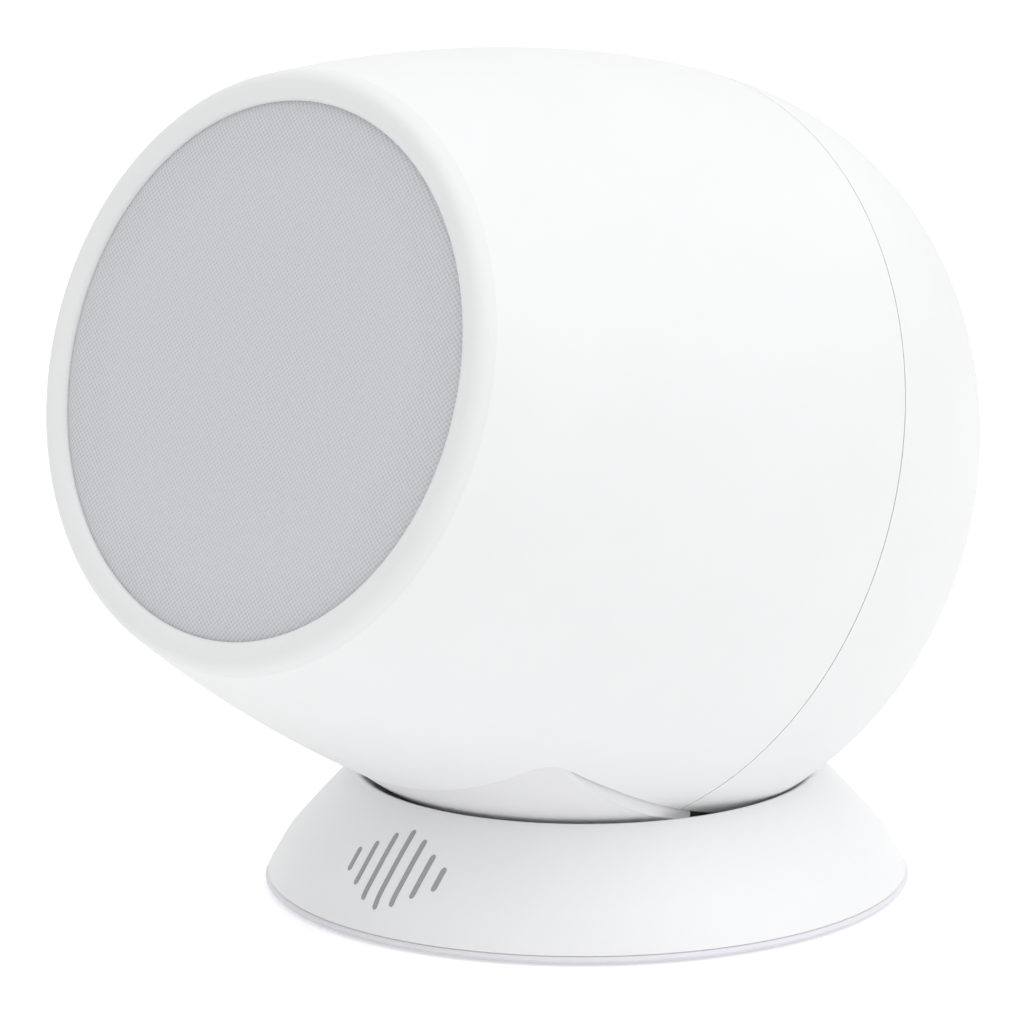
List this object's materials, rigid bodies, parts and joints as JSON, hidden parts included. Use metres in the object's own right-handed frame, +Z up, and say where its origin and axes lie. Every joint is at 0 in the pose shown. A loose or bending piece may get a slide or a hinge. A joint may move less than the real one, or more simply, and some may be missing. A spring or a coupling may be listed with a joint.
{
  "type": "smart speaker",
  "caption": "Compact smart speaker: ball-shaped head with a round cloth grille that tilts and turns on a low round weighted base.",
  "frame": {"origin": "centre of the base on the table plane, under the base's vertical axis", "axes": "+Z up along the base's axis, -Y towards the front, +X towards the viewer's right when the grille is seen from the front"},
  "size_m": [0.0986, 0.1114, 0.1103],
  "materials": {
    "shell_plastic": "satin moulded white",
    "rear_plastic": "satin moulded white",
    "base_plastic": "satin moulded white",
    "ring_plastic": "satin moulded white",
    "panel_plastic": "fine matt texture",
    "button_plastic": "satin",
    "carrier_plastic": "satin light grey",
    "plate_plastic": "satin cool grey",
    "foot_rubber": "soft matt",
    "grille_fabric": "fine weave",
    "black_plastic": "moulded matt",
    "acetal": "self-lubricating, smooth",
    "zinc_steel": "zinc plated",
    "screw_steel": "zinc plated",
    "spring_steel": "bright",
    "can_steel": "tinned",
    "inlet_steel": "bright",
    "ballast_iron": "as cast, oiled",
    "gasket_foam": "closed-cell foam",
    "basket_paint": "black powder coat",
    "surround_rubber": "smooth",
    "spider_cloth": "resin-treated cotton",
    "ferrite": "sintered",
    "tinned_brass": "tinned",
    "cone_paper": "pressed pulp",
    "cap_paper": "pressed, coated",
    "copper_coil": "enamelled copper winding",
    "board_resin": "solder mask",
    "capacitor_can": "sleeved can",
    "connector_plastic": "natural nylon",
    "lead_sleeve": "PVC sleeve",
    "led_lens": "diffused",
    "flex_film": "polyimide"
  },
  "bodies": {
    "base": {"base_shell": "base_plastic", "bottom_plate": "plate_plastic", "foot_ring": "foot_rubber", "base_screws": "screw_steel", "ballast_ring": "ballast_iron", "swivel_bush": "acetal"},
    "swivel": {"swivel_carrier": "carrier_plastic", "yoke_strap": "zinc_steel", "yoke_screws": "screw_steel", "pivot_pins": "screw_steel", "friction_washer": "spring_steel", "retaining_plate": "zinc_steel", "spindle_screw": "screw_steel"},
    "head": {"front_shell": "shell_plastic", "rear_shell": "rear_plastic", "rear_panel": "panel_plastic", "shell_screws": "screw_steel", "grille_ring": "ring_plastic", "grille_frame": "black_plastic", "grille_cloth": "grille_fabric", "speaker_box": "black_plastic", "box_screws": "screw_steel", "pivot_bushes": "acetal", "pivot_washers": "spring_steel", "driver_gasket": "gasket_foam", "driver_basket": "basket_paint", "driver_screws": "screw_steel", "driver_surround": "surround_rubber", "driver_spider": "spider_cloth", "top_plate": "zinc_steel", "magnet": "ferrite", "pole_piece": "zinc_steel", "driver_terminals": "tinned_brass", "main_board": "board_resin", "shield_can": "can_steel", "wifi_module": "can_steel", "capacitors": "capacitor_can", "power_inductor": "ferrite", "speaker_connector": "connector_plastic", "speaker_leads": "lead_sleeve", "tact_switches": "black_plastic", "power_inlet": "inlet_steel", "mic_board": "board_resin", "microphones": "can_steel", "status_led": "led_lens", "mic_flex": "flex_film"},
    "cone": {"cone": "cone_paper", "dust_cap": "cap_paper", "voice_coil": "copper_coil"},
    "volume_down": {"volume_down_button": "button_plastic", "volume_down_plunger": "black_plastic"},
    "action": {"action_button": "button_plastic", "action_plunger": "black_plastic"},
    "volume_up": {"volume_up_button": "button_plastic", "volume_up_plunger": "black_plastic"}
  },
  "joints": [
    {"name": "swivel_turn", "type": "hinge", "parent": "base", "child": "swivel", "pos_m": [0, 0, 0.0078], "axis": [0, 0, 1], "range_deg": [-170, 170]},
    {"name": "head_tilt", "type": "hinge", "parent": "swivel", "child": "head", "pos_m": [0, 0, 0.0567], "axis": [-1, 0, 0], "range_deg": [-5, 15]},
    {"name": "cone_stroke", "type": "slide", "parent": "head", "child": "cone", "axis": [0, -0.9502, 0.3115], "range_m": [-0.0015, 0.0015], "stiffness_N_per_m": 1000, "deforming": ["driver_surround", "driver_spider"]},
    {"name": "volume_down_press", "type": "slide", "parent": "head", "child": "volume_down", "axis": [0, -0.9502, 0.3115], "range_m": [0, 0.0005], "stiffness_N_per_m": 2000, "springref_m": -0.0002},
    {"name": "action_press", "type": "slide", "parent": "head", "child": "action", "axis": [0, -0.9502, 0.3115], "range_m": [0, 0.0005], "stiffness_N_per_m": 2000, "springref_m": -0.0002},
    {"name": "volume_up_press", "type": "slide", "parent": "head", "child": "volume_up", "axis": [0, -0.9502, 0.3115], "range_m": [0, 0.0005], "stiffness_N_per_m": 2000, "springref_m": -0.0002}
  ]
}
